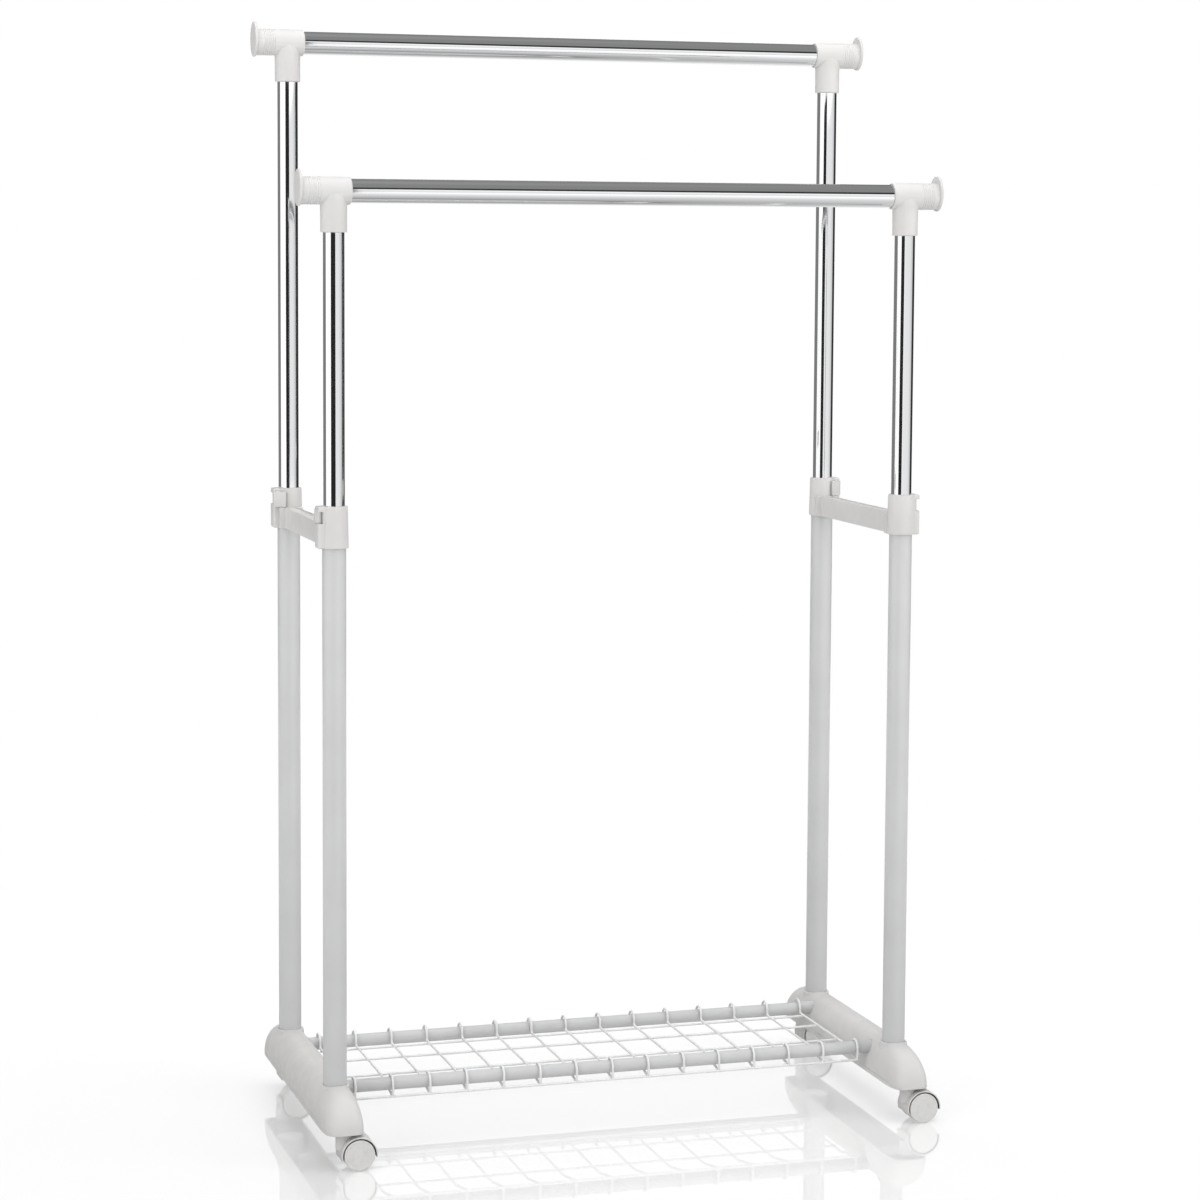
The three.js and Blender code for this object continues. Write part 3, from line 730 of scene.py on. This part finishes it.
WHEEL_INNER_EDGE = 1.5
WHEEL_OUTER_EDGE = 1.0
WHEEL_TREAD_END = WHEEL_FACE - 5.5
FACE_RECESS = [(16.6, 0), (16.4, 0.25), (15.4, 0.3), (0, 0.3)]  # radius, and depth below the face


def sector(outer, inner):
    """The outline of part of a ring round the wheel's axis, in X and Z."""
    outline = arc(TRAIL, AXLE_Z, outer, HOOD_FROM, HOOD_TO, HOOD_STEPS)
    return outline + arc(TRAIL, AXLE_Z, inner, HOOD_TO, HOOD_FROM, HOOD_STEPS)


def at_axle(obj):
    return move(obj, x=TRAIL, z=AXLE_Z)


def hood_shape():
    """A curved cover over both wheels, with a plate between them and a neck for the stem."""
    rim = prism("hood", sector(HOOD_RADIUS, HOOD_RIM), -HOOD_HALF_WIDTH, HOOD_HALF_WIDTH, "y")
    rim = soften(rim, HOOD_EDGE)
    web = prism("web", sector(HOOD_RIM + SINK_IN, WEB_INNER), -WEB_HALF_WIDTH, WEB_HALF_WIDTH, "y")
    bottom, top = NECK_HEIGHTS
    neck_profile = [(0, bottom), (NECK_RADIUS, bottom)]
    neck_profile += arc(NECK_RADIUS - NECK_EDGE, top - NECK_EDGE, NECK_EDGE, 0, 90, 5) + [(0, top)]
    bays = []
    for end in (-1, 1):
        low, high = sorted((end * (WEB_HALF_WIDTH - SINK_IN), end * (HOOD_HALF_WIDTH + OVERSHOOT)))
        bays.append(at_axle(rod("bay", HOOD_RIM + SINK_IN, low, high, "y", SIDES)))
    neck = cut(lathe("neck", neck_profile), *bays)
    hub = at_axle(rod("hub", HUB_RADIUS, -HUB_HALF_WIDTH, HUB_HALF_WIDTH, "y"))
    stem_bore = rod("bore", *STEM_BORE)
    axle_bore = at_axle(rod("bore", *AXLE_BORE, "y"))
    return cut(join(rim, web, neck, hub), stem_bore, axle_bore)


def wheel_shape():
    """A disc closed on its outer side, with rounded edges and a shallow step round its face."""
    bore, depth = WHEEL_BORE
    inner = WHEEL_INNER
    inner_edge = AXLE_Z - WHEEL_INNER_EDGE
    profile = [(0, depth), (bore, depth), (bore, inner), (inner_edge, inner)]
    profile += arc(inner_edge, inner + WHEEL_INNER_EDGE, WHEEL_INNER_EDGE, -90, 0, 6)
    profile += [(AXLE_Z, WHEEL_TREAD_END)]
    profile += arc(AXLE_Z - WHEEL_OUTER_EDGE, WHEEL_FACE - WHEEL_OUTER_EDGE, WHEEL_OUTER_EDGE, 0, 90, 8)
    profile += [(radius, WHEEL_FACE - sunk) for radius, sunk in FACE_RECESS]
    return lathe("wheel", profile, "y")


def add_casters():
    hood = None
    wheel = None
    for side in SIDES_IN_Y:
        for hand in HANDS:
            name = f"{side}_{hand}_caster"
            stem_place = middle(f"{name}_stem")
            axle_place = middle(f"{name}_axle")
            hood = another(hood) if hood else hood_shape()
            stand_in(hood, f"{name}_hood", (stem_place.x, stem_place.y, 0))
            refined(f"{name}_stem", 0.5, 60)
            refined(f"{name}_axle", 0.3, 60)
            for wheel_side in SIDES_IN_Y:
                node = f"{name}_{wheel_side}_wheel"
                outwards = middle(node).y - axle_place.y
                wheel = another(wheel) if wheel else wheel_shape()
                stand_in(wheel, node, axle_place, 0 if outwards > 0 else math.pi)


# ---- wire shelf -------------------------------------------------------------------------------------------
WIRE = 1.5  # radius
WIRE_SIDES = 14
CROSS_WIRES = 15
PLANE_Z = 71.0
ROW_YS = (83.0, 32.0, -40.0)
DIP_START_Y = -62.0
DIP_Z = 61.0
BEND = 3.5
HOOK_LIFT = 2.0
HOOK_CLEARANCE = 0.6
SINK = 0.9  # how far two welded wires sink into each other
WIRE_END = 0.5  # how far the long wires pass the outer cross wires
CAP = ((0.35, 0.94), (0.7, 0.72), (0.95, 0.35))  # a wire's rounded end: distance and radius, in wire radii
DIP_ROUNDING = ((-4, 0), (-1.2, 0.15), (1.2, 0.7))  # distance past the dip's start, and drop
NUGGET_SCALE = (1.25, 1.25, 0.8, 1)
NUGGET_RADIUS = 0.95 * WIRE


def sweep(bm, path):
    """Adds a round wire with rounded ends along a path that lies in a plane of constant X, or along X."""
    points = [Vector(point) for point in path]
    rings = []
    last = len(points) - 1
    for index, point in enumerate(points):
        ahead = (points[min(index + 1, last)] - points[max(index - 1, 0)]).normalized()
        across = Vector((1, 0, 0)) if abs(ahead.x) < 0.5 else Vector((0, 1, 0))
        other = ahead.cross(across).normalized()
        spots = [(0, 1)]
        if index == 0:
            spots = [(-out, share) for out, share in reversed(CAP)] + spots
        if index == last:
            spots += CAP
        rings += [(point + ahead * WIRE * out, across, other, WIRE * share) for out, share in spots]
    made = []
    for centre, across, other, radius in rings:
        ring = []
        for step in range(WIRE_SIDES):
            angle = 2 * math.pi * step / WIRE_SIDES
            ring.append(bm.verts.new(centre + radius * (across * math.cos(angle) + other * math.sin(angle))))
        made.append(ring)
    for first, second in zip(made, made[1:]):
        for step in range(WIRE_SIDES):
            after = (step + 1) % WIRE_SIDES
            bm.faces.new((first[step], first[after], second[after], second[step]))
    bm.faces.new(made[0])
    bm.faces.new(made[-1])


def cross_wire(x, tube_y, tube_z, hook):
    """One cross wire, from its open hook behind the back tube to its hook over the front tube."""
    flat = arc(tube_y, tube_z + HOOK_LIFT, hook, -5, 180, 22)
    flat += arc(tube_y - hook - BEND, PLANE_Z + BEND, BEND, 0, -90, 6)
    flat += [(DIP_START_Y - past, PLANE_Z - drop) for past, drop in DIP_ROUNDING]
    flat += arc(BEND - tube_y - hook, DIP_Z + BEND, BEND, 262, 180, 6)
    flat += arc(-tube_y, tube_z, hook, 180, 50, 16)
    return [(x, y, z) for y, z in flat]


def weld_nugget(bm, place):
    matrix = Matrix.Translation(place) @ Matrix.Diagonal(NUGGET_SCALE)
    bmesh.ops.create_uvsphere(bm, u_segments=10, v_segments=6, radius=NUGGET_RADIUS, matrix=matrix)


def add_wire_shelf():
    low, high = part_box("wire_shelf")
    tube_place = middle("back_shelf_tube") / MM
    hook = size("back_shelf_tube").z / 2 + WIRE + HOOK_CLEARANCE
    first = low.x / MM + WIRE
    last = high.x / MM - WIRE
    pitch = (last - first) / (CROSS_WIRES - 1)
    below = 2 * WIRE - SINK
    hem_inset = BEND / 2 - below * math.sqrt(0.5)
    rows = [(y, PLANE_Z - below) for y in ROW_YS]
    rows.append((hem_inset - tube_place.y - hook, DIP_Z + hem_inset))
    bm = bmesh.new()
    for y, z in rows:
        sweep(bm, [(first - WIRE_END, y, z), (last + WIRE_END, y, z)])
    for index in range(CROSS_WIRES):
        x = first + index * pitch
        sweep(bm, cross_wire(x, tube_place.y, tube_place.z, hook))
        for y in ROW_YS:
            weld_nugget(bm, Vector((x, y, PLANE_Z - below / 2)))
    stand_in(as_object("wire_shelf", bm), "wire_shelf")


# ---- stage, light and camera ------------------------------------------------------------------------------
CAMERA_PLACE = Vector((-1.1105, -3.6277, 1.0938))
CAMERA_YAW = math.radians(17.151)  # clockwise from +Y, seen from above
CAMERA_PITCH = math.radians(4.946)  # down
CAMERA_ROLL = math.radians(0.342)
CAMERA_LENS = 91.9
CAMERA_SENSOR = 36  # mm
CAMERA_SHIFT_Y = -0.0833


def add_camera():
    data = bpy.data.cameras.new("camera")
    data.lens = CAMERA_LENS
    data.sensor_width = CAMERA_SENSOR
    data.shift_y = CAMERA_SHIFT_Y
    camera = bpy.data.objects.new("camera", data)
    bpy.context.scene.collection.objects.link(camera)
    level = Vector((math.sin(CAMERA_YAW), math.cos(CAMERA_YAW), 0))
    ahead = level * math.cos(CAMERA_PITCH) - Vector((0, 0, math.sin(CAMERA_PITCH)))
    flat_right = Vector((math.cos(CAMERA_YAW), -math.sin(CAMERA_YAW), 0))
    flat_up = flat_right.cross(ahead)
    right = flat_right * math.cos(CAMERA_ROLL) + flat_up * math.sin(CAMERA_ROLL)
    up = flat_up * math.cos(CAMERA_ROLL) - flat_right * math.sin(CAMERA_ROLL)
    turn = Matrix((right, up, -ahead)).transposed().to_4x4()
    camera.matrix_world = Matrix.Translation(CAMERA_PLACE) @ turn
    bpy.context.scene.camera = camera


def ramp(tree, value, low, high, stops):
    """A colour ramp over low to high; stops are (value, grey) pairs."""
    spread = tree.nodes.new("ShaderNodeMapRange")
    spread.inputs["From Min"].default_value = low
    spread.inputs["From Max"].default_value = high
    tree.links.new(value, spread.inputs["Value"])
    node = tree.nodes.new("ShaderNodeValToRGB")
    elements = node.color_ramp.elements
    while len(elements) < len(stops):
        elements.new(0.5)
    for element, (place, grey) in zip(elements, stops):
        element.position = (place - low) / (high - low)
        element.color = (grey, grey, grey, 1)
    tree.links.new(spread.outputs["Result"], node.inputs["Fac"])
    return node.outputs["Color"]


def mix_shaders(tree, factor, first, second):
    mix = tree.nodes.new("ShaderNodeMixShader")
    if isinstance(factor, float):
        mix.inputs["Fac"].default_value = factor
    else:
        tree.links.new(factor, mix.inputs["Fac"])
    tree.links.new(first, mix.inputs[1])
    tree.links.new(second, mix.inputs[2])
    return mix.outputs["Shader"]


# Grey levels of the studio round the rack. Angles are in degrees; 0 is behind the camera and positive is to
# its right. The dark strips are what gives the chrome its lines.
ROUND_STOPS = (
    (-180, 0.2), (-92, 0.2), (-86, 1.15), (-4, 1.1), (4, 0.85), (62, 0.82), (96, 0.6), (104, 0.03),
    (150, 0.03), (180, 0.2),
)
UP_STOPS = (
    (-90, 0.1), (-64, 0.3), (-26, 0.45), (-21, 1.15), (13, 1.15), (17, 0.03), (29, 0.04), (34, 0.24),
    (60, 0.24), (90, 0.32),
)
LEVEL = 9.5  # within this angle of level the uprights' surroundings show, and elsewhere the rails' do


def add_world():
    world = bpy.data.worlds.new("studio")
    bpy.context.scene.world = world
    world.use_nodes = True
    tree = world.node_tree
    background = tree.nodes["Background"]
    way = tree.nodes.new("ShaderNodeTexCoord").outputs["Generated"]

    def dot(x, y, z):
        node = tree.nodes.new("ShaderNodeVectorMath")
        node.operation = "DOT_PRODUCT"
        node.inputs[1].default_value = (x, y, z)
        tree.links.new(way, node.inputs[0])
        return node.outputs["Value"]

    def maths(operation, *values):
        node = tree.nodes.new("ShaderNodeMath")
        node.operation = operation
        for index, value in enumerate(values):
            if isinstance(value, (int, float)):
                node.inputs[index].default_value = value
            else:
                tree.links.new(value, node.inputs[index])
        return node.outputs["Value"]

    sin_yaw, cos_yaw = math.sin(CAMERA_YAW), math.cos(CAMERA_YAW)
    behind = dot(-sin_yaw, -cos_yaw, 0)
    beside = dot(cos_yaw, -sin_yaw, 0)
    around = maths("DEGREES", maths("ARCTAN2", beside, behind))
    upwards = maths("DEGREES", maths("ARCSINE", dot(0, 0, 1)))
    round_grey = ramp(tree, around, -180, 180, ROUND_STOPS)
    up_grey = ramp(tree, upwards, -90, 90, UP_STOPS)
    steep = maths("GREATER_THAN", maths("ABSOLUTE", upwards), LEVEL)
    blend = tree.nodes.new("ShaderNodeMix")
    blend.data_type = "RGBA"
    tree.links.new(steep, blend.inputs["Factor"])
    tree.links.new(round_grey, blend.inputs["A"])
    tree.links.new(up_grey, blend.inputs["B"])
    rays = tree.nodes.new("ShaderNodeLightPath")
    seen = maths("MAXIMUM", rays.outputs["Is Camera Ray"], rays.outputs["Is Singular Ray"])
    whiten = tree.nodes.new("ShaderNodeMix")
    whiten.data_type = "RGBA"
    whiten.inputs["B"].default_value = (1, 1, 1, 1)
    tree.links.new(seen, whiten.inputs["Factor"])
    tree.links.new(blend.outputs["Result"], whiten.inputs["A"])
    tree.links.new(whiten.outputs["Result"], background.inputs["Color"])


LIGHTS = {
    # name: (place, size, watts)
    "overhead": ((0.2, -0.3, 3.6), 4.2, 124),
    "left": ((-3.4, -2.2, 2.2), 2.4, 68),
    "right": ((3.2, -2.6, 1.8), 2.4, 68),
    "behind": ((0.4, 3.2, 2.6), 2.6, 42),
}


def add_lights():
    target = (BOUNDS_AT_START[0] + BOUNDS_AT_START[1]) / 2
    for name, (place, width, watts) in LIGHTS.items():
        data = bpy.data.lights.new(name, "AREA")
        data.shape = "SQUARE"
        data.size = width
        data.energy = watts
        light = bpy.data.objects.new(name, data)
        light.location = place
        light.rotation_euler = (target - Vector(place)).to_track_quat("-Z", "Y").to_euler()
        light.visible_glossy = False
        bpy.context.scene.collection.objects.link(light)


FLAG_PLACE = Vector((-0.80, -1.40, 0.82))
FLAG_WIDTH = 1.23
FLAG_HEIGHT = 1.64
FLAG_BLACK = (0.012, 0.012, 0.012)


def add_flag():
    """A black card in front of the rack that only shows as the dark line along the chrome tubes."""
    bm = bmesh.new()
    bmesh.ops.create_grid(bm, size=0.5 / MM)
    flag = as_object("flag", bm)
    flag.scale = (FLAG_WIDTH, FLAG_HEIGHT, 1)
    towards = middle("front_left_lower_tube") - FLAG_PLACE
    across = Vector((towards.y, -towards.x, 0))
    flag.rotation_euler = (math.pi / 2, 0, math.atan2(across.y, across.x))
    flag.location = FLAG_PLACE
    finish = Finish("flag", FLAG_BLACK, 1.0)
    tree = finish.tree
    clear = tree.nodes.new("ShaderNodeBsdfTransparent")
    in_floor = tree.nodes.new("ShaderNodeLightPath").outputs["Is Singular Ray"]
    shader = mix_shaders(tree, in_floor, finish.surface.outputs["BSDF"], clear.outputs["BSDF"])
    tree.links.new(shader, tree.nodes["Material Output"].inputs["Surface"])
    flag.data.materials.append(finish.material)
    for kind in ("camera", "diffuse", "shadow", "transmission"):
        setattr(flag, f"visible_{kind}", False)


FLOOR_RADIUS = 4.5
FLOOR_SEGMENTS = 96
FLOOR_DROP = 0.0005  # keeps the floor just clear of the wheels
FLOOR_COLOUR = (0.94, 0.94, 0.94)
FLOOR_CLEAR = (0.5, 1.6)  # the floor fades to plain white between these distances from its middle
FLOOR_GLOW = 0.3  # share of plain white in the middle of the floor
FLOOR_POLISH = 0.42  # share of mirror image in the rest
# Painted reflection: the grey the floor glows with where chrome mirrors it, at distances from its middle.
PAINTED_REFLECTION_STOPS = ((0, 0.5), (0.3, 0.55), (0.4, 0.2), (0.5, 0.4), (1.1, 0.62), (2.0, 0.8), (3.0, 1.0))


def add_floor():
    bm = bmesh.new()
    bmesh.ops.create_circle(bm, cap_ends=True, radius=FLOOR_RADIUS / MM, segments=FLOOR_SEGMENTS)
    floor = as_object("floor", bm)
    finish = Finish("floor", FLOOR_COLOUR, 0.09, Specular_IOR_Level=0.4)
    tree = finish.tree

    distance = tree.nodes.new("ShaderNodeVectorMath")
    distance.operation = "LENGTH"
    tree.links.new(finish.place, distance.inputs[0])
    away = distance.outputs["Value"]
    plain = tree.nodes.new("ShaderNodeEmission")
    painted_reflection = tree.nodes.new("ShaderNodeEmission")
    tree.links.new(ramp(tree, away, 0, PAINTED_REFLECTION_STOPS[-1][0], PAINTED_REFLECTION_STOPS), painted_reflection.inputs["Color"])
    fade = finish.span(away, FLOOR_GLOW, 1, *FLOOR_CLEAR)
    polish = tree.nodes.new("ShaderNodeBsdfAnisotropic")
    polish.inputs["Roughness"].default_value = 0
    polish.inputs["Color"].default_value = (1, 1, 1, 1)
    polished = mix_shaders(tree, FLOOR_POLISH, finish.surface.outputs["BSDF"], polish.outputs["BSDF"])
    seen = mix_shaders(tree, fade, polished, plain.outputs["Emission"])
    # painted reflection: glossy rays see the floor as a glow in the greys above, darker near the rack, not as
    # a lit surface
    in_chrome = tree.nodes.new("ShaderNodeLightPath").outputs["Is Glossy Ray"]
    shader = mix_shaders(tree, in_chrome, seen, painted_reflection.outputs["Emission"])
    tree.links.new(shader, tree.nodes["Material Output"].inputs["Surface"])
    floor.data.materials.append(finish.material)
    floor.location.z = -FLOOR_DROP


add_tubes()
add_tees()
add_clamps()
add_feet()
add_casters()
add_wire_shelf()
add_floor()
add_flag()
add_world()
add_lights()
add_camera()
bpy.context.scene.view_settings.view_transform = "Standard"
